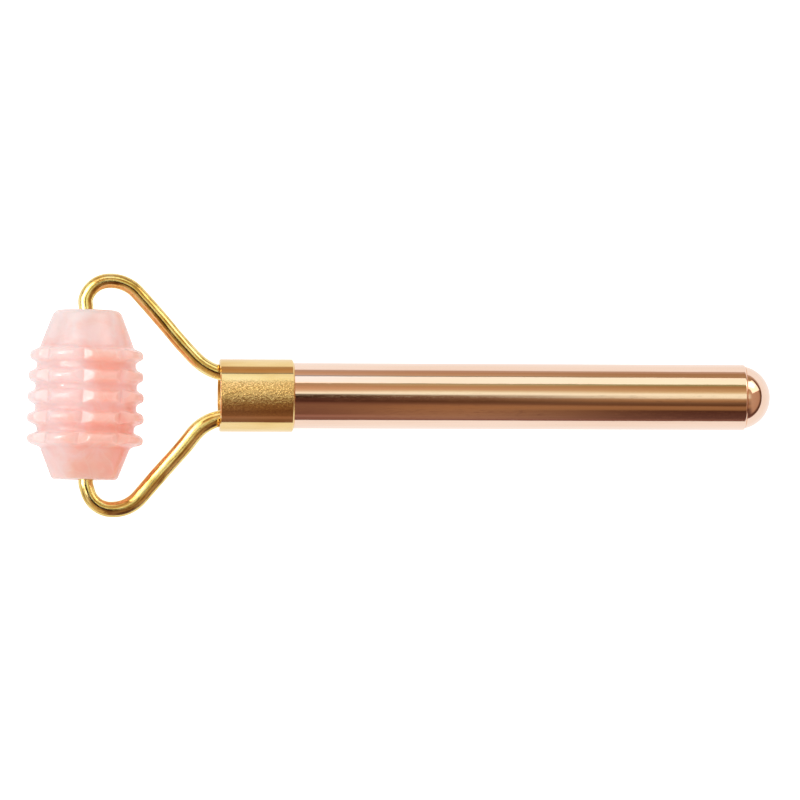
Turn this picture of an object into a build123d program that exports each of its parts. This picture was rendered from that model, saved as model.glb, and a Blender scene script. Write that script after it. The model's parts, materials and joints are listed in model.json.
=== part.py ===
"""Textured stone face roller on a bent-wire fork, with a ferrule and a polished tube handle.

Millimetres, +Z up. The roller lies on a table at z = 0: it rests on the studs of the stone and on
the far end of the handle tube. +X runs from the roller to the domed end, +Y along the roller's axle.
The origin is the centre of the bounding box's bottom face.
"""

import os
from math import asin, atan2, cos, degrees, hypot, radians, sin, sqrt, tan

from build123d import *

os.makedirs("parts", exist_ok=True)

# ---------------------------------------------------------------- driving dimensions
# Distances called "at" run along the handle's axis, from the roller's axle.

STONE_LENGTH = 34.1  # end face to end face
STONE_END_RADIUS = 6.6  # the end faces, before their edge is rounded
STONE_END_ROUND = 0.9
CONE_ANGLE = 21.2  # slope of the two plain cones
RING_COUNT = 5
RING_PITCH = 4.245
RING_SHIFT = -0.55  # the carved rings sit a little off the middle of the stone
CREST_RADIUS = 11.85  # over the studs of the three middle rings, which the stone stands on
CREST_LEVEL = 4.9  # the crests are level this far each way from the middle ring
CREST_FALL = 0.027  # how fast they fall away past that, 1/mm
VALLEY_RADIUS = 10.25  # largest radius between the rings
VALLEY_BARREL = 0.0075
VALLEY_CENTRE = -0.5
CREST_FLAT = 1.06  # width of a ring's top before rounding
CREST_ROUND = 0.5
VALLEY_FLAT = 0.58
VALLEY_ROUND = 0.35
GROOVE_COUNT = 8  # lengthwise V grooves that cut the rings into studs
GROOVE_FLOOR_RADIUS = 10.4
GROOVE_HALF_WIDTH = 2.55  # at the top of the fullest stud

WIRE_DIAMETER = 3.0
AXLE_CLEARANCE = 0.05  # running fit, on the radius
BUSH_OUTER_RADIUS = 1.9
BUSH_LENGTH = 8.0
BUSH_RECESS = 0.2  # how far a bush lies below the face of the stone
PIN_DEPTH = 7.2  # how far a pin goes into the stone

HAIRPIN_TOP = 23.05  # wire centre line, furthest from the handle's axis
HAIRPIN_INNER_BEND = 5.0  # centre-line radii of the wire's three bends
HAIRPIN_OUTER_BEND = 7.05
HAIRPIN_FLAT = 0.25
NECK_BEND = 10.5
ARM_SLOPE = 49.1
LEG_OFFSET = 4.25  # of each wire leg from the handle's axis
LEG_DEPTH = 6.5  # of each leg in the plug

FERRULE_AT = 26.8
FERRULE_LENGTH = 14.9
FERRULE_RADIUS = 7.35
FERRULE_BORE_RADIUS = 6.4
FERRULE_CHAMFER = 0.25
PLUG_RECESS = 3.0  # from the ferrule's front edge to the plug's face
STUD_RADIUS = 2.5
STUD_LENGTH = 14.0
STUD_IN_PLUG = 5.0

TUBE_RADIUS = 6.65
TUBE_WALL = 0.8
TUBE_LENGTH = 91.5
LIP_LENGTH = 0.4  # the rounded end of the tube
LIP_RADIUS = 0.5
INSERT_LENGTH = 14.0
DOME_HEIGHT = 5.2
DOME_BASE_RADIUS = 6.32
CAP_SPIGOT_LENGTH = 6.0
EDGE_BREAK = 0.12  # small chamfer on turned edges

# ---------------------------------------------------------------- derived places

WIRE_RADIUS = WIRE_DIAMETER / 2
STONE_HALF = STONE_LENGTH / 2
FERRULE_END = FERRULE_AT + FERRULE_LENGTH
TUBE_END = FERRULE_END + TUBE_LENGTH
TUBE_BORE_RADIUS = TUBE_RADIUS - TUBE_WALL

# At rest one groove faces straight down and one straight ahead, so the stone stands on the stud
# edges beside a groove, and reaches as far forward as it stands high.
AXLE_HEIGHT = sqrt(CREST_RADIUS**2 - GROOVE_HALF_WIDTH**2)
OVERALL_LENGTH = AXLE_HEIGHT + TUBE_END + DOME_HEIGHT
AXLE_X = AXLE_HEIGHT - OVERALL_LENGTH / 2

# The handle leans down until the round of the tube's lip touches the table.
LIP_START = TUBE_END - LIP_LENGTH
LIP_CENTRE_RADIUS = TUBE_RADIUS - LIP_RADIUS
HANDLE_TILT = degrees(
    asin((AXLE_HEIGHT - LIP_RADIUS) / hypot(LIP_START, LIP_CENTRE_RADIUS))
    - atan2(LIP_CENTRE_RADIUS, LIP_START)
)

AXLE_CENTRE = (AXLE_X, 0, AXLE_HEIGHT)
# roller plane: local x runs along the axle, local y is the radius
roller_plane = Plane(origin=AXLE_CENTRE, x_dir=(0, 1, 0), z_dir=(1, 0, 0))
axle = Axis(AXLE_CENTRE, (0, 1, 0))
# head plane: holds the whole fork; local x is the handle's axis, local y the axle
head_plane = Plane(
    origin=AXLE_CENTRE,
    x_dir=(cos(radians(HANDLE_TILT)), 0, -sin(radians(HANDLE_TILT))),
    z_dir=(sin(radians(HANDLE_TILT)), 0, cos(radians(HANDLE_TILT))),
)
handle_axis = Axis(head_plane.origin, head_plane.x_dir)
# groove plane: the stone's -Y end face, seen along the axle
groove_plane = Plane(AXLE_CENTRE, x_dir=(1, 0, 0), z_dir=(0, 1, 0)).offset(-STONE_HALF)


def section_at(distance):
    """The plane across the handle's axis at a distance from the axle, facing the domed end."""
    centre = head_plane.from_local_coords((distance, 0, 0))
    return Plane(origin=centre, x_dir=(0, 1, 0), z_dir=head_plane.x_dir)


def save(piece, name):
    """Label a finished piece and write it as a STEP file of the same name."""
    piece.part.label = name
    export_step(piece.part, f"parts/{name}.step")


# ---------------------------------------------------------------- the carved stone


def crest_radius(along):
    return CREST_RADIUS - CREST_FALL * max(abs(along - RING_SHIFT) - CREST_LEVEL, 0) ** 2


def valley_radius(along):
    return VALLEY_RADIUS - VALLEY_BARREL * (along - VALLEY_CENTRE) ** 2


def cone_radius(along):
    return STONE_END_RADIUS + (STONE_HALF - abs(along)) * tan(radians(CONE_ANGLE))


ring_places = [RING_SHIFT + RING_PITCH * (n - (RING_COUNT - 1) / 2) for n in range(RING_COUNT)]
ring_foot = (RING_PITCH - VALLEY_FLAT) / 2  # from a ring's middle to the foot of its flank
first_foot = ring_places[0] - ring_foot
last_foot = ring_places[-1] + ring_foot

crest_points = []
valley_points = []
for place in ring_places:
    for edge in (place - CREST_FLAT / 2, place + CREST_FLAT / 2):
        crest_points.append((edge, crest_radius(edge)))
for place in ring_places[:-1]:
    middle = place + RING_PITCH / 2
    for edge in (middle - VALLEY_FLAT / 2, middle + VALLEY_FLAT / 2):
        valley_points.append((edge, valley_radius(edge)))
foot_points = [(foot, cone_radius(foot)) for foot in (first_foot, last_foot)]
ring_points = sorted(crest_points + valley_points + foot_points)
end_points = [(-STONE_HALF, STONE_END_RADIUS), (STONE_HALF, STONE_END_RADIUS)]
bore_points = [(STONE_HALF, BUSH_OUTER_RADIUS), (-STONE_HALF, BUSH_OUTER_RADIUS)]
stone_outline = [end_points[0], *ring_points, end_points[1], *bore_points]


def corners_at(sketch, points):
    """The corners of a sketch that stand on the given points."""
    return [c for c in sketch.vertices() if any((Vector(c) - Vector(*p)).length < 1e-4 for p in points)]


# The V groove opens outwards at a constant slope, so it is drawn twice as deep as the studs are tall.
mouth_radius = GROOVE_FLOOR_RADIUS + 2 * (AXLE_HEIGHT - GROOVE_FLOOR_RADIUS)
mouth_half_width = 2 * GROOVE_HALF_WIDTH

with BuildPart() as roller_stone:
    with BuildSketch(roller_plane) as outline:
        with BuildLine():
            Polyline(*stone_outline, close=True)
        make_face()
        fillet(corners_at(outline, crest_points), CREST_ROUND)
        fillet(corners_at(outline, valley_points), VALLEY_ROUND)
        fillet(corners_at(outline, end_points), STONE_END_ROUND)
    revolve(axis=axle)
    with BuildSketch(groove_plane):
        with PolarLocations(0, GROOVE_COUNT):
            Polygon(
                (GROOVE_FLOOR_RADIUS, 0),
                (mouth_radius, -mouth_half_width),
                (mouth_radius, mouth_half_width),
                align=None,
            )
    extrude(amount=STONE_LENGTH, mode=Mode.SUBTRACT)
save(roller_stone, "roller_stone")

# ---------------------------------------------------------------- bushes in the stone's bore

bush_outer_end = STONE_HALF - BUSH_RECESS
pin_bore_radius = WIRE_RADIUS + AXLE_CLEARANCE

with BuildPart() as bush_right:
    with BuildSketch(roller_plane) as wall:
        with BuildLine():
            Polyline(
                (bush_outer_end - BUSH_LENGTH, pin_bore_radius),
                (bush_outer_end, pin_bore_radius),
                (bush_outer_end, BUSH_OUTER_RADIUS),
                (bush_outer_end - BUSH_LENGTH, BUSH_OUTER_RADIUS),
                close=True,
            )
        make_face()
        chamfer(corners_at(wall, [(bush_outer_end, BUSH_OUTER_RADIUS)]), EDGE_BREAK)
    revolve(axis=axle)
save(bush_right, "bush_right")

with BuildPart() as bush_left:
    mirror(bush_right.part, about=Plane.XZ)
save(bush_left, "bush_left")

# ---------------------------------------------------------------- the bent-wire fork

slope = radians(ARM_SLOPE)
hairpin_side = HAIRPIN_TOP - HAIRPIN_INNER_BEND  # where the pin turns into the hairpin
outer_bend_x = HAIRPIN_INNER_BEND + HAIRPIN_FLAT
slope_top = (
    outer_bend_x + HAIRPIN_OUTER_BEND * sin(slope),
    HAIRPIN_TOP - HAIRPIN_OUTER_BEND * (1 - cos(slope)),
)
slope_foot_y = LEG_OFFSET + NECK_BEND * (1 - cos(slope))
slope_foot = (slope_top[0] + (slope_top[1] - slope_foot_y) / tan(slope), slope_foot_y)
neck_bend_x = slope_foot[0] + NECK_BEND * sin(slope)
plug_face = FERRULE_AT + PLUG_RECESS
leg_end = plug_face + LEG_DEPTH

with BuildPart() as fork_arm_right:
    with BuildLine(head_plane) as centre_line:
        Line((0, STONE_HALF - PIN_DEPTH), (0, hairpin_side))
        CenterArc((HAIRPIN_INNER_BEND, hairpin_side), HAIRPIN_INNER_BEND, 180, -90)
        Line((HAIRPIN_INNER_BEND, HAIRPIN_TOP), (outer_bend_x, HAIRPIN_TOP))
        CenterArc((outer_bend_x, HAIRPIN_TOP - HAIRPIN_OUTER_BEND), HAIRPIN_OUTER_BEND, 90, -ARM_SLOPE)
        Line(slope_top, slope_foot)
        CenterArc((neck_bend_x, LEG_OFFSET + NECK_BEND), NECK_BEND, 270 - ARM_SLOPE, ARM_SLOPE)
        Line((neck_bend_x, LEG_OFFSET), (leg_end, LEG_OFFSET))
    pin_start = head_plane.from_local_coords((0, STONE_HALF - PIN_DEPTH, 0))
    with BuildSketch(Plane(origin=pin_start, z_dir=(0, 1, 0))):
        Circle(WIRE_RADIUS)
    sweep(path=centre_line.wires()[0])
    chamfer(fork_arm_right.faces().sort_by(Axis.Y)[0].edges(), 2 * EDGE_BREAK)
save(fork_arm_right, "fork_arm_right")

with BuildPart() as fork_arm_left:
    mirror(fork_arm_right.part, about=Plane.XZ)
save(fork_arm_left, "fork_arm_left")

# ---------------------------------------------------------------- ferrule, plug and stud

with BuildPart() as ferrule:
    with BuildSketch(head_plane) as wall:
        with BuildLine():
            Polyline(
                (FERRULE_AT, FERRULE_BORE_RADIUS),
                (FERRULE_AT, FERRULE_RADIUS),
                (FERRULE_END, FERRULE_RADIUS),
                (FERRULE_END, FERRULE_BORE_RADIUS),
                close=True,
            )
        make_face()
        outer_corners = [(FERRULE_AT, FERRULE_RADIUS), (FERRULE_END, FERRULE_RADIUS)]
        chamfer(corners_at(wall, outer_corners), FERRULE_CHAMFER)
        chamfer(corners_at(wall, [(FERRULE_AT, FERRULE_BORE_RADIUS)]), EDGE_BREAK)
    revolve(axis=handle_axis)
save(ferrule, "ferrule")

with BuildPart() as fork_plug:
    with BuildSketch(section_at(plug_face)):
        Circle(FERRULE_BORE_RADIUS)
    extrude(amount=FERRULE_END - plug_face)
    with BuildSketch(section_at(plug_face)):
        with Locations((LEG_OFFSET, 0), (-LEG_OFFSET, 0)):
            Circle(WIRE_RADIUS)
    extrude(amount=LEG_DEPTH, mode=Mode.SUBTRACT)
    with BuildSketch(section_at(FERRULE_END - STUD_IN_PLUG)):
        Circle(STUD_RADIUS)
    extrude(amount=STUD_IN_PLUG, mode=Mode.SUBTRACT)
save(fork_plug, "fork_plug")

with BuildPart() as joint_stud:
    with BuildSketch(section_at(FERRULE_END - STUD_IN_PLUG)):
        Circle(STUD_RADIUS)
    extrude(amount=STUD_LENGTH)
    chamfer(joint_stud.edges(), 3 * EDGE_BREAK)
save(joint_stud, "joint_stud")

# ---------------------------------------------------------------- the handle

with BuildPart() as handle_insert:
    with BuildSketch(section_at(FERRULE_END)):
        Circle(TUBE_BORE_RADIUS)
        Circle(STUD_RADIUS, mode=Mode.SUBTRACT)
    extrude(amount=INSERT_LENGTH)
save(handle_insert, "handle_insert")

lip_angle = degrees(asin(LIP_LENGTH / LIP_RADIUS))
lip_edge_radius = LIP_CENTRE_RADIUS + sqrt(LIP_RADIUS**2 - LIP_LENGTH**2)

with BuildPart() as handle_tube:
    with BuildSketch(head_plane) as wall:
        with BuildLine():
            Line((FERRULE_END, TUBE_RADIUS), (LIP_START, TUBE_RADIUS))
            CenterArc((LIP_START, LIP_CENTRE_RADIUS), LIP_RADIUS, 90, -lip_angle)
            Polyline(
                (TUBE_END, lip_edge_radius),
                (TUBE_END, TUBE_BORE_RADIUS),
                (FERRULE_END, TUBE_BORE_RADIUS),
                (FERRULE_END, TUBE_RADIUS),
            )
        make_face()
        tube_corners = [(FERRULE_END, TUBE_RADIUS), (TUBE_END, lip_edge_radius)]
        chamfer(corners_at(wall, tube_corners), EDGE_BREAK)
    revolve(axis=handle_axis)
save(handle_tube, "handle_tube")

dome_radius = (DOME_BASE_RADIUS**2 + DOME_HEIGHT**2) / (2 * DOME_HEIGHT)
dome_tip = TUBE_END + DOME_HEIGHT
dome_angle = degrees(atan2(DOME_BASE_RADIUS, dome_radius - DOME_HEIGHT))
spigot_start = TUBE_END - CAP_SPIGOT_LENGTH

with BuildPart() as end_cap:
    with BuildSketch(head_plane) as half:
        with BuildLine():
            CenterArc((dome_tip - dome_radius, 0), dome_radius, 0, dome_angle)
            Polyline(
                (TUBE_END, DOME_BASE_RADIUS),
                (TUBE_END, TUBE_BORE_RADIUS),
                (spigot_start, TUBE_BORE_RADIUS),
                (spigot_start, 0),
                (dome_tip, 0),
            )
        make_face()
        chamfer(corners_at(half, [(TUBE_END, DOME_BASE_RADIUS)]), EDGE_BREAK)
        chamfer(corners_at(half, [(spigot_start, TUBE_BORE_RADIUS)]), 3 * EDGE_BREAK)
    revolve(axis=handle_axis)
save(end_cap, "end_cap")
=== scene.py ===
"""Looks of a studded rose-quartz face roller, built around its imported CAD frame. Metres, +Z up."""

import json
from math import cos, pi, radians, sin, tan
import bpy
import numpy as np
from mathutils import Matrix, Vector


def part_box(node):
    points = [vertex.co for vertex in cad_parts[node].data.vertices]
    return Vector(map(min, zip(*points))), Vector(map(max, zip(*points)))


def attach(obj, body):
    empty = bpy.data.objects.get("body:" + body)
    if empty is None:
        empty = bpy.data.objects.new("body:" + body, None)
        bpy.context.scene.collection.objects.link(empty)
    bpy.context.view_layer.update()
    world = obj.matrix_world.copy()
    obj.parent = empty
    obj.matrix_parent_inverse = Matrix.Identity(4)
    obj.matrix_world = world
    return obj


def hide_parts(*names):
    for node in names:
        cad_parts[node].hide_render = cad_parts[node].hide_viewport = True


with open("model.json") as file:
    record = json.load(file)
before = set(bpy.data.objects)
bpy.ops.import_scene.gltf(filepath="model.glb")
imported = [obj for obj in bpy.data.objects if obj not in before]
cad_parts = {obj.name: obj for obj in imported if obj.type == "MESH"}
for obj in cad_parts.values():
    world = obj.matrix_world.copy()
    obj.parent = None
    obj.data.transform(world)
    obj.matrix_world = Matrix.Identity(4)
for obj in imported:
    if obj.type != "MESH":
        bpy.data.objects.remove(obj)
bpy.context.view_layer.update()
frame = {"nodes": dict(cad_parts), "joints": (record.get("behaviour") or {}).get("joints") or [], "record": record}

MM = 0.001
rng = np.random.default_rng(7)

# ---------------------------------------------------------------- places taken from the frame
# The head frame has its origin on the axle, x along the handle, y along the axle and z out of the
# fork's plane. Meshes are shaped in millimetres in a local frame and then placed.

spin = frame["joints"][0]
barrel = frame["record"]["mounts"][0]
AXLE = Vector(spin["pos_m"])
HANDLE_DIR = Vector(barrel["axis"]).normalized()
HEAD_UP = HANDLE_DIR.cross(Vector((0, 1, 0))).normalized()
HEAD_TURN = Matrix((HANDLE_DIR, Vector((0, 1, 0)), HEAD_UP)).transposed()


def reach(node):
    """(nearest, furthest) distance in mm of a CAD node from the axle, measured along the handle."""
    along = [(v.co - AXLE).dot(HANDLE_DIR) / MM for v in frame["nodes"][node].data.vertices]
    return min(along), max(along)


STONE_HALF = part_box("roller_stone")[1].y / MM
BORE_RADIUS = (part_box("bush_right")[1].z - AXLE.z) / MM
PIN_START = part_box("fork_arm_right")[0].y / MM
ARM_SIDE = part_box("fork_arm_right")[1].y / MM
LEG_END = reach("fork_arm_right")[1]
PLUG_FACE = reach("fork_plug")[0]


# ---------------------------------------------------------------- making meshes and materials


def mesh_piece(name, points, faces, turn, origin, material, body, replaced):
    """A smooth mesh from points in mm, turned and moved into place, that stands for a CAD node."""
    mesh = bpy.data.meshes.new(name)
    placed = np.asarray(points) * MM @ np.array(turn).T + np.array(origin)
    mesh.from_pydata(placed.tolist(), [], faces)
    mesh.polygons.foreach_set("use_smooth", [True] * len(mesh.polygons))
    mesh.materials.append(material)
    piece = bpy.data.objects.new(name, mesh)
    bpy.context.scene.collection.objects.link(piece)
    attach(piece, body)
    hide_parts(replaced)
    return piece


def grid_faces(rows, columns, closed_rows=False):
    """Quads of a grid whose columns go round; closed_rows joins the last row to the first."""
    faces = []
    for row in range(rows if closed_rows else rows - 1):
        here, there = row * columns, (row + 1) % rows * columns
        for column in range(columns):
            beside = (column + 1) % columns
            faces.append((here + column, here + beside, there + beside, there + column))
    return faces


def add_node(tree, kind, inputs, **settings):
    """A new shader node; each input is a socket to join or a value to set."""
    node = tree.nodes.new("ShaderNode" + kind)
    for key, value in settings.items():
        setattr(node, key, value)
    for socket, value in inputs.items():
        if isinstance(value, bpy.types.NodeSocket):
            tree.links.new(value, node.inputs[socket])
        else:
            node.inputs[socket].default_value = value
    return node


def color_ramp(tree, value, stops):
    """The colour output of a ramp with a stop at each (place, colour)."""
    node = add_node(tree, "ValToRGB", {0: value})
    elements = node.color_ramp.elements
    for place, color in stops[2:]:
        elements.new(place)
    for element, (place, color) in zip(elements, stops):
        element.position = place
        element.color = (*color, 1)
    return node.outputs["Color"]


class Material:
    """A Principled material, with short ways to build the nodes that feed it."""

    def __init__(self, name, finish):
        self.data = bpy.data.materials.new(name)
        self.data.use_nodes = True
        self.tree = self.data.node_tree
        self.shader = self.tree.nodes["Principled BSDF"]
        for socket, value in finish.items():
            self.shader.inputs[socket].default_value = value

    def add(self, kind, inputs, **settings):
        return add_node(self.tree, kind, inputs, **settings)

    def feed(self, socket, value):
        self.tree.links.new(value, self.shader.inputs[socket])

    def local(self, turn, origin):
        """Object coordinates in mm, in the frame with the given turn and origin."""
        place = self.add("TexCoord", {}).outputs["Object"]
        inputs = {"Vector": place, "Location": origin, "Rotation": turn.to_euler(), "Scale": (MM, MM, MM)}
        return self.add("Mapping", inputs, vector_type="TEXTURE").outputs[0]

    def stretch(self, place, scale):
        return self.add("VectorMath", {0: place, 1: scale}, operation="MULTIPLY").outputs[0]

    def axis(self, place, name):
        return self.add("SeparateXYZ", {0: place}).outputs[name]

    def math(self, operation, a, b=0.0):
        return self.add("Math", {0: a, 1: b}, operation=operation).outputs[0]

    def noise(self, place, scale, detail=2.0, roughness=0.5):
        inputs = {"Vector": place, "Scale": scale, "Detail": detail, "Roughness": roughness}
        return self.add("TexNoise", inputs).outputs["Fac"]

    def span(self, value, low, high, to_low=0.0, to_high=1.0):
        """Smoothly maps low..high onto to_low..to_high, and holds the ends."""
        inputs = {"Value": value, 1: low, 2: high, 3: to_low, 4: to_high}
        return self.add("MapRange", inputs, interpolation_type="SMOOTHSTEP").outputs[0]

    def ramp(self, value, stops):
        return color_ramp(self.tree, value, stops)

    def mix(self, share, a, b):
        """Colour a, turning into the fixed colour b as share goes from 0 to 1."""
        inputs = {0: share, 6: a if isinstance(a, bpy.types.NodeSocket) else (*a, 1), 7: (*b, 1)}
        return self.add("Mix", inputs, data_type="RGBA").outputs[2]

    def bump(self, height, depth, below=None):
        """Bump of the given depth in mm, laid over an earlier bump if there is one."""
        inputs = {"Height": height, "Distance": depth * MM}
        if below is not None:
            inputs["Normal"] = below
        return self.add("Bump", inputs).outputs[0]


# ---------------------------------------------------------------- materials


def rose_quartz():
    """Milky pink stone: warm and pale clouds, fine veils, a polish with soft hand-worked waves. Painted shade
    makes the +X side, the -Y end and the ring crests deeper salmon, and painted light makes the -X side and the
    valleys paler.
    """
    finish = {"IOR": 1.54, "Specular IOR Level": 0.45, "Subsurface Weight": 0.95, "Subsurface Scale": 0.02}
    m = Material("rose_quartz", finish)
    m.shader.inputs["Subsurface Radius"].default_value = (1.0, 0.65, 0.55)
    place = m.local(Matrix.Identity(3), AXLE)
    bent = m.add("VectorMath", {0: place}, operation="ADD")
    sway = m.add("TexNoise", {"Vector": place, "Scale": 0.12, "Detail": 2.0})
    m.tree.links.new(m.stretch(sway.outputs["Color"], (9, 9, 9)), bent.inputs[1])
    clouds = m.noise(bent.outputs[0], 0.11, 4, 0.55)
    # painted shade and light: the stone is paler on its -X side and deeper salmon on its +X side, as the light
    # falls from the left
    painted_side_shade = m.span(m.axis(place, "X"), -9, 12, -0.16, 0.25)
    # painted shade: deeper salmon towards the -Y end, away from the light on the +Y side
    painted_end_shade = m.span(m.axis(place, "Y"), 6, -17, -0.02, 0.25)
    radius = m.add("VectorMath", {0: m.stretch(place, (1, 0, 1))}, operation="LENGTH").outputs["Value"]
    # painted shade and light: the ring crests deeper salmon and the valleys between them paler
    crest_shade_valley_light = m.span(radius, 9.9, 11.9, -0.03, 0.1)
    # tone adds the clouds to the painted shade of the side, the end and the crests
    tone = m.math("ADD", m.math("ADD", m.math("ADD", clouds, painted_side_shade), painted_end_shade), crest_shade_valley_light)
    pale, pink = (0.99, 0.69, 0.69), (0.98, 0.59, 0.57)
    salmon, rose = (0.97, 0.49, 0.42), (0.94, 0.41, 0.35)
    base = m.ramp(tone, [(0.36, pale), (0.55, pink), (0.72, salmon), (0.88, rose)])
    veil = m.noise(m.stretch(bent.outputs[0], (0.35, 1.0, 0.6)), 0.55, 5, 0.6)
    base = m.mix(m.span(veil, 0.52, 0.75, 0.0, 0.2), base, (0.99, 0.77, 0.75))
    cells = {"Vector": bent.outputs[0], "Scale": 0.2}
    cracks = m.add("TexVoronoi", cells, feature="DISTANCE_TO_EDGE").outputs["Distance"]
    base = m.mix(m.span(cracks, 0.0, 0.05, 0.12, 0.0), base, (0.99, 0.8, 0.75))
    m.feed("Base Color", base)
    m.feed("Roughness", m.span(m.noise(place, 0.8, 3), 0.35, 0.7, 0.12, 0.26))
    worked = m.bump(m.noise(place, 0.55, 2), 0.05)
    m.feed("Normal", m.bump(m.noise(m.stretch(place, (1, 2.5, 1)), 2.2, 3), 0.006, worked))
    return m.data


def natural_nylon():
    """Natural white nylon with faint turning rings."""
    m = Material("natural_nylon", {"IOR": 1.53, "Subsurface Weight": 0.3, "Subsurface Scale": 0.001})
    place = m.local(Matrix.Identity(3), AXLE)
    rings = m.noise(m.stretch(place, (0.3, 14, 0.3)), 1.0)
    m.feed("Base Color", m.ramp(rings, [(0.3, (0.78, 0.72, 0.64)), (0.7, (0.88, 0.84, 0.78))]))
    m.feed("Roughness", m.span(rings, 0.3, 0.7, 0.35, 0.5))
    m.feed("Normal", m.bump(rings, 0.006))
    return m.data


def brass_wire():
    """Drawn brass wire: lengthwise die lines, small pits and darker tarnish between bright places."""
    m = Material("brass_wire", {"Metallic": 1.0})
    place = m.add("Attribute", {}, attribute_name="straightened").outputs["Vector"]
    lines = m.noise(m.stretch(place, (0.1, 4.2, 4.2)), 1.0, 3, 0.6)
    blotch = m.noise(m.stretch(place, (0.35, 0.7, 0.7)), 1.0, 3)
    pits = m.noise(m.stretch(place, (1.6, 3.0, 3.0)), 1.3, 2)
    bright, gold, dull = (0.95, 0.78, 0.36), (0.86, 0.62, 0.19), (0.4, 0.24, 0.06)
    tone = m.math("ADD", m.math("MULTIPLY", lines, 0.6), m.math("MULTIPLY", blotch, 0.4))
    base = m.ramp(tone, [(0.34, dull), (0.46, gold), (0.58, bright)])
    base = m.mix(m.span(pits, 0.6, 0.72, 0.0, 0.65), base, (0.25, 0.13, 0.03))
    m.feed("Base Color", base)
    m.feed("Roughness", m.span(blotch, 0.3, 0.7, 0.07, 0.18))
    drawn = m.bump(lines, 0.03)
    m.feed("Normal", m.bump(pits, 0.006, drawn))
    return m.data


def ferrule_brass():
    """Plated ferrule: polished, with a belt of fine orange-peel grain and faint die lines."""
    m = Material("ferrule_brass", {"Metallic": 1.0, "Coat Weight": 0.25, "Coat Roughness": 0.04})
    place = m.local(HEAD_TURN, AXLE)
    drift = m.noise(m.stretch(place, (0.06, 0.3, 0.3)), 1.0, 3)
    grain = m.noise(m.stretch(place, (1.8, 2.4, 2.4)), 1.0, 4, 0.65)
    lines = m.noise(m.stretch(place, (0.1, 5, 5)), 1.0, 2)
    bright, gold, deep = (0.93, 0.7, 0.35), (0.88, 0.63, 0.27), (0.78, 0.5, 0.18)
    base = m.ramp(drift, [(0.3, deep), (0.5, gold), (0.7, bright)])
    across = m.axis(place, "Y")
    belt = m.math("MULTIPLY", m.span(across, -4.6, -1.6), m.span(across, 3.6, 2.2))
    specks = m.math("MULTIPLY", m.span(grain, 0.48, 0.64, 0.05, 0.6), belt)
    base = m.mix(specks, base, (0.5, 0.29, 0.09))
    m.feed("Base Color", base)
    m.feed("Roughness", m.span(drift, 0.3, 0.7, 0.05, 0.12))
    peel = m.bump(m.math("MULTIPLY", grain, belt), 0.13)
    m.feed("Normal", m.bump(lines, 0.003, peel))
    return m.data


def turned_brass():
    """Machined brass with fine concentric tool marks about the handle's axis."""
    m = Material("turned_brass", {"Metallic": 1.0})
    place = m.local(HEAD_TURN, AXLE)
    flat = m.stretch(place, (0, 1, 1))
    radius = m.add("VectorMath", {0: flat}, operation="LENGTH").outputs["Value"]
    rings = m.math("SINE", m.math("MULTIPLY", radius, 2 * pi / 0.22))
    stain = m.noise(place, 0.5, 4)
    m.feed("Base Color", m.ramp(stain, [(0.35, (0.45, 0.27, 0.08)), (0.65, (0.75, 0.5, 0.17))]))
    m.feed("Roughness", m.span(stain, 0.3, 0.7, 0.28, 0.42))
    m.feed("Normal", m.bump(rings, 0.004))
    return m.data


def stud_steel():
    """Zinc-plated steel with a rolled-thread look and a mottled grey tone."""
    m = Material("stud_steel", {"Metallic": 1.0})
    place = m.local(HEAD_TURN, AXLE)
    thread = m.math("SINE", m.math("MULTIPLY", m.axis(place, "X"), 2 * pi / 0.8))
    mottle = m.noise(place, 1.2, 3)
    m.feed("Base Color", m.ramp(mottle, [(0.35, (0.48, 0.48, 0.5)), (0.65, (0.66, 0.66, 0.66))]))
    m.feed("Roughness", m.span(mottle, 0.3, 0.7, 0.25, 0.4))
    m.feed("Normal", m.bump(thread, 0.1))
    return m.data


def rose_gold():
    """Mirror-polished rose-gold plating: slow waves, lengthwise polishing lines, a few fine scuffs."""
    m = Material("rose_gold", {"Metallic": 1.0, "Coat Weight": 0.5, "Coat Roughness": 0.03})
    place = m.local(HEAD_TURN, AXLE)
    drift = m.noise(m.stretch(place, (0.02, 0.25, 0.25)), 1.0, 2)
    lines = m.noise(m.stretch(place, (0.03, 4, 4)), 1.0, 3)
    scuffs = m.noise(m.stretch(place, (0.5, 7, 7)), 1.0, 2)
    base = m.ramp(drift, [(0.35, (0.91, 0.65, 0.5)), (0.65, (0.95, 0.71, 0.57))])
    base = m.mix(m.span(lines, 0.5, 0.75, 0.0, 0.3), base, (0.84, 0.54, 0.39))
    m.feed("Base Color", base)
    m.feed("Roughness", m.span(scuffs, 0.5, 0.8, 0.06, 0.16))
    slow = m.bump(m.noise(m.stretch(place, (0.03, 0.2, 0.2)), 1.0), 0.03)
    m.feed("Normal", m.bump(lines, 0.0015, slow))
    return m.data


QUARTZ = rose_quartz()
WIRE = brass_wire()
TURNED = turned_brass()
GOLD = rose_gold()
NYLON = natural_nylon()
carried_over = {
    "ferrule": ferrule_brass(),
    "fork_plug": TURNED,
    "handle_insert": TURNED,
    "joint_stud": stud_steel(),
    "handle_tube": GOLD,
    "end_cap": GOLD,
    "bush_left": NYLON,
    "bush_right": NYLON,
}
for node, material in carried_over.items():
    mesh = frame["nodes"][node].data
    mesh.materials.clear()
    mesh.materials.append(material)

# ---------------------------------------------------------------- the carved stone
# In mm and degrees. "along" is the place on the axle from the stone's middle, +Y positive, and
# "turn" goes round the axle from the top towards the handle.

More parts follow.
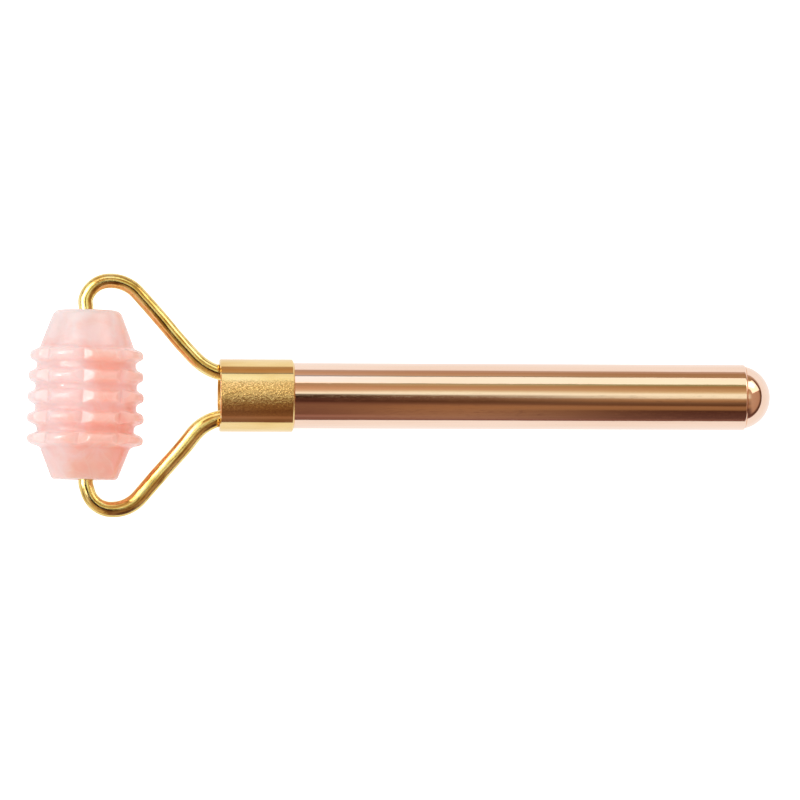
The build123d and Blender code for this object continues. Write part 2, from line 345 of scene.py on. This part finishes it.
RING_COUNT = 5
RING_PITCH = 4.245
RING_SHIFT = -0.55
GROOVE_COUNT = 8
GROOVE_STEP = 360 / GROOVE_COUNT
GROOVE_FLOOR = 10.4  # radius
GROOVE_RISE = 0.5  # of the groove's walls, over their run
GROOVE_TURN = -2.3  # the top groove at its +Y end; lower down it drifts further
GROOVE_DRIFT, DRIFT_START = 0.037, 2
CREST_RADIUS, CREST_BARREL, CREST_CENTRE = 11.85, 0.0042, -2.67
CREST_PROUD = 0.15
VALLEY_RADIUS, VALLEY_BARREL, VALLEY_CENTRE = 10.25, 0.0085, 0.3
CONE_ANGLE = 21.2
CONE_SLOPE = tan(radians(CONE_ANGLE))
END_RADIUS = 6.6
END_ROUND = {1: 1.7, -1: 0.9}  # the +Y end is worked rounder than the -Y end
BODY_LEAN = 0.95  # the hand-carved body leans on its bore, seen from above
EDGE_SOFTNESS = 0.2
RING_SQUARENESS = 1.7  # the higher, the flatter the rings' tops and the steeper their sides

COLUMNS_PER_GROOVE = 40
COLUMNS = GROOVE_COUNT * COLUMNS_PER_GROOVE
ring_places = RING_SHIFT + RING_PITCH * (np.arange(RING_COUNT) - (RING_COUNT - 1) / 2)
stud_heights = rng.normal(0, 0.05, (RING_COUNT, GROOVE_COUNT))
stud_shifts = rng.normal(0, 0.07, (RING_COUNT, GROOVE_COUNT))
groove_jitter = rng.normal(0, 0.35, (RING_COUNT, GROOVE_COUNT))


def smooth_step(value, low, high):
    t = np.clip((value - low) / (high - low), 0, 1)
    return t * t * (3 - 2 * t)


def smooth_min(a, b, softness):
    share = np.clip(0.5 + 0.5 * (b - a) / softness, 0, 1)
    return b + (a - b) * share - softness * share * (1 - share)


def by_stud(values, part):
    """Values per stud, held over each stud and blended quickly across the groove between two."""
    stud = np.floor(part).astype(int) % GROOVE_COUNT
    inside = part - np.floor(part)
    before = values[(stud - 1) % GROOVE_COUNT]
    after = values[(stud + 1) % GROOVE_COUNT]
    held = values[stud]
    held = held + 0.5 * (before - held) * (1 - smooth_step(inside, 0, 0.15))
    return held + 0.5 * (after - values[stud]) * smooth_step(inside, 0.85, 1)


def cone_radius(along):
    return END_RADIUS + (STONE_HALF - np.abs(along)) * CONE_SLOPE


def plain_radius(along):
    """The body under the rings: two cones that meet in a slight barrel."""
    barrel_radius = VALLEY_RADIUS - VALLEY_BARREL * (along - VALLEY_CENTRE) ** 2
    return smooth_min(cone_radius(along), barrel_radius, 0.4)


def crest_radius(along, part):
    """The studs stand a little prouder on top than on the side that rests on the table."""
    proud = CREST_PROUD * smooth_step(np.cos(np.radians(part * GROOVE_STEP)), -0.7, -0.1)
    return CREST_RADIUS + proud - CREST_BARREL * (along - CREST_CENTRE) ** 2


def groove_angle(along, groove):
    """Angle of a groove's floor. The grooves stray most at the top and stand even at the table."""
    even = groove * GROOVE_STEP
    drift = GROOVE_TURN - GROOVE_DRIFT * np.minimum(along - DRIFT_START, 0) ** 2
    play = np.interp(along, ring_places, groove_jitter[:, groove])
    return even + (drift + play) * (0.5 + 0.5 * cos(radians(even)))


def carved_radius(along, part, off_floor):
    """Radius of the carved outside, where part counts grooves round the stone."""
    plain = radius = plain_radius(along)
    for ring, place in enumerate(ring_places):
        shift = by_stud(stud_shifts[ring], part)
        apart = np.clip((along - place - shift) / RING_PITCH, -0.5, 0.5)
        pulse = np.tanh(RING_SQUARENESS * np.cos(2 * pi * apart)) / np.tanh(RING_SQUARENESS)
        crest = crest_radius(along, part) + by_stud(stud_heights[ring], part)
        radius = radius + (crest - plain) * (0.5 + 0.5 * pulse)
    lean = GROOVE_RISE * np.sqrt(np.sin(off_floor) ** 2 + 0.002**2)
    groove = GROOVE_FLOOR / (np.cos(off_floor) - lean)
    return smooth_min(radius, groove, EDGE_SOFTNESS)


def end_rows(side):
    """(along, radius) from the bore's edge out to where the cone starts, at one end of the stone."""
    bend = END_ROUND[side]
    middle = STONE_HALF - bend
    centre = END_RADIUS + bend * CONE_SLOPE - bend / cos(radians(CONE_ANGLE))
    rows = [(STONE_HALF - 0.15, BORE_RADIUS), (STONE_HALF, BORE_RADIUS + 0.15)]
    rows += [(STONE_HALF, radius) for radius in np.linspace(BORE_RADIUS + 0.4, centre, 5)]
    for angle in np.radians(np.linspace(84, CONE_ANGLE, 9)):
        rows.append((middle + bend * sin(angle), centre + bend * cos(angle)))
    return [(side * along, radius) for along, radius in rows]


def carve_stone():
    """The stone as a closed grid: +Y end, outside, -Y end and the bore back to the start."""
    top, bottom = end_rows(1), end_rows(-1)[::-1]
    ring_zone = (RING_COUNT / 2 + 0.1) * RING_PITCH
    zone_top, zone_bottom = RING_SHIFT + ring_zone, RING_SHIFT - ring_zone
    outside = np.concatenate([
        np.linspace(top[-1][0], zone_top, 18)[1:-1],
        np.linspace(zone_top, zone_bottom, 165),
        np.linspace(zone_bottom, bottom[0][0], 18)[1:-1],
    ])
    bore = [(along, BORE_RADIUS) for along in np.linspace(-STONE_HALF, STONE_HALF, 9)[1:-1]]
    part = np.arange(COLUMNS) / COLUMNS_PER_GROOVE
    groove = np.floor(part).astype(int)
    inside = part - groove
    rows = []

    def add_row(along, radius=None):
        first = np.array([groove_angle(along, g % GROOVE_COUNT) for g in range(GROOVE_COUNT)])
        second = np.append(first[1:], first[0] + 360)
        angle = np.radians(first[groove] + (second - first)[groove] * inside)
        if radius is None:
            off_floor = np.radians((inside - np.round(inside)) * GROOVE_STEP)
            radius = carved_radius(np.full(COLUMNS, along), part, off_floor)
        round_point = np.stack([radius * np.sin(angle), np.full(COLUMNS, along), radius * np.cos(angle)], 1)
        rows.append(round_point)

    for along, radius in top:
        add_row(along, radius)
    for along in outside:
        add_row(along)
    for along, radius in bottom + bore:
        add_row(along, radius)
    points = np.concatenate(rows)
    lean = np.array(Matrix.Rotation(radians(-BODY_LEAN), 3, "Z"))
    away = smooth_step(np.hypot(points[:, 0], points[:, 2]), BORE_RADIUS + 0.2, BORE_RADIUS + 1.8)[:, None]
    points = points + (points @ lean.T - points) * away
    waves = rng.normal(0, 1, (6, 3)) * 0.45
    ripple = sum(np.sin(points @ wave + 2 * k) for k, wave in enumerate(waves))
    points[:, [0, 2]] *= 1 + away * 0.0006 * ripple[:, None]
    return points, len(rows)


stone_points, stone_row_count = carve_stone()
mesh_piece(
    "carved_stone", stone_points, grid_faces(stone_row_count, COLUMNS, closed_rows=True),
    Matrix.Identity(3), AXLE, QUARTZ, "roller", "roller_stone",
)

# ---------------------------------------------------------------- the bent-wire arms

WIRE_RADIUS = 1.5
INNER_BEND = 5.0  # centre-line radii of the bends, as on the CAD arms
OUTER_BEND = 7.05
BEND_FLAT = 0.25
NECK_BEND = 10.5
ARM_SLOPE = 49.1
LEG_OFFSET = 4.25
HAND_BEND = 0.24  # each arm is bent this much off the mean shape: +Y one forward, -Y one back
FLATTENING = 0.14  # the sloping part of the -Y arm is a little wider than round wire
FLATTENED = (18, 30), (50, 55)  # run along the arm in mm, from the pin: where that begins and ends
WIRE_STEP = 0.3
WIRE_SIDES = 40


def arc(centre, radius, start, turn):
    angles = np.radians(np.linspace(start, start + turn, 40))
    return np.stack([centre[0] + radius * np.cos(angles), centre[1] + radius * np.sin(angles)], 1)


def arm_route():
    """Evenly spaced points down one arm's centre line, in the head's plane, pin end first."""
    top = ARM_SIDE - WIRE_RADIUS
    slope = radians(ARM_SLOPE)
    outer_x = INNER_BEND + BEND_FLAT
    slope_top = (outer_x + OUTER_BEND * sin(slope), top - OUTER_BEND * (1 - cos(slope)))
    foot_y = LEG_OFFSET + NECK_BEND * (1 - cos(slope))
    neck_x = slope_top[0] + (slope_top[1] - foot_y) / tan(slope) + NECK_BEND * sin(slope)
    corners = np.concatenate([
        [(0, PIN_START)],
        arc((INNER_BEND, top - INNER_BEND), INNER_BEND, 180, -90),
        arc((outer_x, top - OUTER_BEND), OUTER_BEND, 90, -ARM_SLOPE),
        arc((neck_x, LEG_OFFSET + NECK_BEND), NECK_BEND, 270 - ARM_SLOPE, ARM_SLOPE),
        [(LEG_END, LEG_OFFSET)],
    ])
    run = np.append(0, np.cumsum(np.hypot(*np.diff(corners, axis=0).T)))
    even = np.linspace(0, run[-1], int(run[-1] / WIRE_STEP))
    return np.stack([np.interp(even, run, corners[:, k]) for k in (0, 1)], 1), even


def bend_arm(side, body_name):
    """One arm: a round section swept down the route, with slight unevenness outside its seats."""
    route, run = arm_route()
    pin_end = STONE_HALF - PIN_START + 0.4
    free = smooth_step(route[:, 1], LEG_OFFSET + 2, 12) * smooth_step(run, pin_end, pin_end + 2.0)
    waver = np.sin(run / 5.3 + side) * 0.05 + np.sin(run / 2.9 + 2 * side) * 0.02
    route = route + np.stack([free * (waver - side * HAND_BEND), free * waver], 1)
    ahead = np.gradient(route, axis=0)
    ahead /= np.hypot(*ahead.T)[:, None]
    outward = np.stack([-ahead[:, 1], ahead[:, 0]], 1)
    radius = np.full(len(run), WIRE_RADIUS) + free * 0.012 * np.sin(run / 1.7)
    braze = np.exp(-np.abs(route[:, 0] - PLUG_FACE) / 0.3) * (route[:, 1] < LEG_OFFSET + 1)
    radius = radius + 0.35 * braze
    radius[0] = radius[-1] = WIRE_RADIUS - 0.24
    around = np.linspace(0, 2 * pi, WIRE_SIDES, endpoint=False)
    begins, ends = FLATTENED
    slope_zone = smooth_step(run, *begins) * smooth_step(run, *ends[::-1]) if side < 0 else 0
    flat = (radius * (1 + FLATTENING * slope_zone))[:, None] * np.cos(around)
    lift = radius[:, None] * np.sin(around)
    x = route[:, :1] + outward[:, :1] * flat
    y = route[:, 1:] + outward[:, 1:] * flat
    points = np.stack([x, side * y, lift], 2).reshape(-1, 3)
    down_wire = np.repeat(run[:, None], WIRE_SIDES, 1) + 90 * side
    unrolled = np.stack([down_wire, flat, lift], 2).reshape(-1, 3)
    faces = grid_faces(len(run), WIRE_SIDES)
    last = (len(run) - 1) * WIRE_SIDES
    faces.append(tuple(range(WIRE_SIDES))[::-1])
    faces.append(tuple(range(last, last + WIRE_SIDES)))
    if side > 0:
        faces = [face[::-1] for face in faces]
    piece = mesh_piece(
        f"bent_wire_{body_name}", points, faces, HEAD_TURN, AXLE,
        WIRE, "handle", f"fork_arm_{body_name}",
    )
    attribute = piece.data.attributes.new("straightened", "FLOAT_VECTOR", "POINT")
    attribute.data.foreach_set("vector", unrolled.ravel())


bend_arm(1, "right")
bend_arm(-1, "left")

# ---------------------------------------------------------------- stage
# The floor is pale and plain. Mirrors and matt surfaces see it white near the object and tan or
# brown further off, as a sheet of white paper in a darker studio looks.

bpy.ops.mesh.primitive_plane_add(size=4.0, location=(0, 0, 0))
floor = bpy.context.object
floor.name = "floor"
paper = Material("floor_paper", {"Base Color": (0.9, 0.9, 0.9, 1), "Roughness": 0.8})
paper.shader.inputs["Emission Color"].default_value = (1, 0.99, 0.98, 1)
paper.shader.inputs["Emission Strength"].default_value = 0.75
place = paper.add("TexCoord", {}).outputs["Object"]
across = paper.axis(place, "Y")
glow = paper.mix(paper.span(across, 0.055, 0.09), (1, 1, 1), (0.52, 0.36, 0.27))
glow = paper.mix(paper.span(across, -0.1, -0.16), glow, (0.23, 0.12, 0.09))
seen = paper.add("Emission", {"Color": glow, "Strength": 1.0}).outputs[0]
to_camera = paper.add("LightPath", {}).outputs["Is Camera Ray"]
choice = paper.add("MixShader", {0: to_camera, 1: seen, 2: paper.shader.outputs[0]})
paper.tree.links.new(choice.outputs[0], paper.tree.nodes["Material Output"].inputs["Surface"])
floor.data.materials.append(paper.data)

FOCUS = Vector((0, 0, 10 * MM))


def panel(name, direction, distance, width, height, radiance, color=(1, 1, 1), shift=0.0, yaw=0.0):
    """A soft light, seen only in reflections, that faces the object; yaw turns it in its own plane."""
    light = bpy.data.lights.new(name, "AREA")
    light.shape = "RECTANGLE"
    light.size = width
    light.size_y = height
    light.energy = radiance * pi * width * height
    light.color = color
    lamp = bpy.data.objects.new(name, light)
    lamp.visible_diffuse = False
    bpy.context.scene.collection.objects.link(lamp)
    direction = Vector(direction).normalized()
    lamp.location = FOCUS + Vector((shift, 0, 0)) + direction * distance
    lamp.rotation_mode = "QUATERNION"
    facing = (-direction).to_track_quat("-Z", "Y")
    lamp.rotation_quaternion = facing @ Matrix.Rotation(radians(yaw), 3, "Z").to_quaternion()


def over_y(angle):
    """Direction that leans from vertical towards +Y by an angle."""
    return (0, sin(radians(angle)), cos(radians(angle)))


def over_x(angle, lean=0.0):
    """Direction that leans from vertical towards +X by an angle, and towards +Y by another."""
    return (sin(radians(angle)), tan(radians(lean)) * cos(radians(angle)), cos(radians(angle)))


panel("far_softbox", over_y(57), 0.9, 2.4, 0.42, 0.85)
panel("left_softbox", over_x(-57, 8), 0.7, 0.34, 0.12, 7.0)
panel("corner_softbox", (-0.55, 0.47, 0.69), 0.8, 0.34, 0.34, 2.4, color=(1, 0.98, 0.94))
panel("left_wall", over_x(-42, 14), 0.9, 0.7, 0.7, 2.2, color=(1, 0.97, 0.9))
panel("right_softbox", (0.76, 0.5, 0.38), 0.8, 0.46, 0.46, 1.15, color=(1, 0.95, 0.84))

# ---------------------------------------------------------------- world
# Camera rays see plain white, and matt surfaces get a soft fill. Mirrors see a studio of light and
# brown bands that run along the handle.

world = bpy.data.worlds.new("studio")
bpy.context.scene.world = world
world.use_nodes = True
tree = world.node_tree


def world_node(kind, inputs, **settings):
    return add_node(tree, kind, inputs, **settings)


# Angle from vertical towards +Y, and what is seen there, above three places along the handle.
FERRULE_END = [
    (-90, (0.23, 0.11, 0.09)),
    (-82, (0.25, 0.13, 0.1)),
    (-79, (0.34, 0.18, 0.15)),
    (-73, (0.32, 0.16, 0.13)),
    (-70, (0.18, 0.08, 0.055)),
    (-34, (0.2, 0.1, 0.065)),
    (-27, (0.17, 0.075, 0.05)),
    (-22, (0.075, 0.028, 0.02)),
    (-12, (0.07, 0.025, 0.018)),
    (-6, (0.025, 0.01, 0.005)),
    (3, (0.03, 0.015, 0.006)),
    (7, (1.05, 1.1, 0.95)),
    (11, (1.05, 1.05, 0.9)),
    (15, (0.8, 0.62, 0.45)),
    (21, (0.7, 0.47, 0.3)),
    (30, (0.6, 0.38, 0.23)),
    (38, (0.46, 0.29, 0.18)),
    (45, (0.5, 0.36, 0.22)),
    (50, (0.25, 0.36, 0.5)),
    (70, (0.25, 0.36, 0.5)),
    (77, (0.63, 0.46, 0.36)),
    (90, (0.57, 0.35, 0.22)),
]
MIDDLE = [
    (-90, (0.3, 0.16, 0.12)),
    (-80, (0.36, 0.21, 0.13)),
    (-40, (0.36, 0.19, 0.09)),
    (-33, (0.31, 0.16, 0.08)),
    (-26, (0.16, 0.075, 0.04)),
    (-19, (0.1, 0.045, 0.02)),
    (-12, (0.16, 0.08, 0.05)),
    (-5, (0.19, 0.1, 0.06)),
    (0, (0.3, 0.2, 0.12)),
    (5, (1.05, 1.15, 1.0)),
    (12, (1.05, 1.15, 0.95)),
    (17, (0.74, 0.65, 0.42)),
    (23, (0.6, 0.4, 0.25)),
    (31, (0.5, 0.32, 0.16)),
    (39, (0.55, 0.46, 0.26)),
    (45, (0.3, 0.38, 0.3)),
    (70, (0.3, 0.38, 0.3)),
    (77, (0.58, 0.4, 0.26)),
    (90, (0.48, 0.29, 0.17)),
]
DOME_END = [
    (-90, (0.2, 0.1, 0.08)),
    (-82, (0.12, 0.055, 0.045)),
    (-52, (0.075, 0.028, 0.018)),
    (-46, (0.3, 0.16, 0.07)),
    (-37, (0.34, 0.18, 0.085)),
    (-31, (0.11, 0.048, 0.02)),
    (-23, (0.19, 0.11, 0.06)),
    (-16, (0.37, 0.21, 0.1)),
    (-9, (0.55, 0.39, 0.22)),
    (-4, (1.05, 1.1, 0.9)),
    (8, (1.05, 1.1, 0.9)),
    (13, (0.75, 0.63, 0.37)),
    (19, (0.58, 0.42, 0.22)),
    (27, (0.5, 0.33, 0.16)),
    (35, (0.37, 0.22, 0.09)),
    (42, (0.35, 0.4, 0.2)),
    (66, (0.3, 0.36, 0.2)),
    (72, (0.42, 0.28, 0.15)),
    (90, (0.4, 0.24, 0.13)),
]
ROLLER_SIDE = [  # the same above the roller and the wires' left sides
    (-90, (0.75, 0.55, 0.4)),
    (-40, (0.6, 0.42, 0.27)),
    (-22, (0.42, 0.27, 0.15)),
    (-12, (0.13, 0.065, 0.025)),
    (-2, (0.1, 0.05, 0.02)),
    (6, (1.0, 1.0, 0.85)),
    (18, (0.95, 0.85, 0.65)),
    (30, (0.5, 0.33, 0.18)),
    (50, (0.6, 0.45, 0.28)),
    (90, (0.7, 0.5, 0.35)),
]
BEYOND_DOME = [  # height, from 0 at the horizon to 1 overhead, and what is seen past the dome
    (0.0, (0.1, 0.04, 0.02)),
    (0.1, (0.12, 0.06, 0.04)),
    (0.2, (0.5, 0.3, 0.2)),
    (1.0, (0.6, 0.42, 0.3)),
]
BEYOND_ROLLER = [  # the same past the roller
    (0.0, (0.7, 0.62, 0.52)),
    (1.0, (0.85, 0.8, 0.72)),
]
LEAN_SINE = 0.037  # of the handle's slope down to the dome
FILL = [  # light that matt surfaces get, from low at the near right to high at the far left
    (0.2, (1.1, 0.84, 0.78)),
    (0.85, (1.25, 1.17, 1.16)),
]


def world_ramp(value, stops):
    return world_node("Background", {"Color": color_ramp(tree, value, stops), "Strength": 1.0}).outputs[0]


def world_mix(share, a, b):
    return world_node("MixShader", {0: share, 1: a, 2: b}).outputs[0]


def world_span(value, low, high):
    inputs = {"Value": value, 1: low, 2: high}
    return world_node("MapRange", inputs, interpolation_type="SMOOTHSTEP").outputs[0]


toward = world_node("TexCoord", {}).outputs["Generated"]
direction = world_node("SeparateXYZ", {0: toward}).outputs
tilt = world_node("Math", {0: direction["Y"], 1: direction["Z"]}, operation="ARCTAN2")
across = world_node("MapRange", {"Value": tilt.outputs[0], 1: -pi / 2, 2: pi / 2}).outputs[0]
ferrule_end, middle, dome_end, roller_side = [
    world_ramp(across, [(angle / 180 + 0.5, color) for angle, color in stops])
    for stops in (FERRULE_END, MIDDLE, DOME_END, ROLLER_SIDE)
]
from_key = world_node("VectorMath", {0: toward, 1: (-0.35, 0.4, 0.85)}, operation="DOT_PRODUCT")
rays = world_node("LightPath", {}).outputs
# The handle's lean is taken out, so that each place along it sees one place here all the way round.
unlean = {0: direction["Z"], 1: -LEAN_SINE, 2: direction["X"]}
sideways = world_node("Math", unlean, operation="MULTIPLY_ADD").outputs[0]
seen = world_mix(world_span(sideways, 0.057, 0.075), ferrule_end, middle)
seen = world_mix(world_span(sideways, 0.078, 0.108), seen, dome_end)
seen = world_mix(world_span(direction["X"], -0.06, -0.25), seen, roller_side)
seen = world_mix(world_span(direction["X"], 0.5, 0.75), seen, world_ramp(direction["Z"], BEYOND_DOME))
seen = world_mix(world_span(direction["X"], -0.5, -0.75), seen, world_ramp(direction["Z"], BEYOND_ROLLER))
seen = world_mix(rays["Is Diffuse Ray"], seen, world_ramp(from_key.outputs["Value"], FILL))
backdrop = world_node("Background", {"Color": (1, 1, 1, 1), "Strength": 1.0}).outputs[0]
seen = world_mix(rays["Is Camera Ray"], seen, backdrop)
tree.links.new(seen, tree.nodes["World Output"].inputs["Surface"])

# ---------------------------------------------------------------- camera

VIEW_WIDTH = 161.35 * MM
aim = Vector((-0.13, -0.79, 9.55)) * MM
eye = aim + Vector((-50, -55, 1500)) * MM
roll = radians(0.08)
camera = bpy.data.objects.new("camera", bpy.data.cameras.new("camera"))
bpy.context.scene.collection.objects.link(camera)
back = (eye - aim).normalized()
right = Vector((-sin(roll), cos(roll), 0)).cross(back).normalized()
turn = Matrix((right, back.cross(right), back)).transposed()
camera.matrix_world = Matrix.Translation(eye) @ turn.to_4x4()
camera.data.sensor_width = 36
camera.data.lens = 36 * (eye - aim).length / VIEW_WIDTH
camera.data.clip_start = 0.05
camera.data.clip_end = 20
bpy.context.scene.camera = camera
bpy.context.scene.view_settings.view_transform = "Standard"
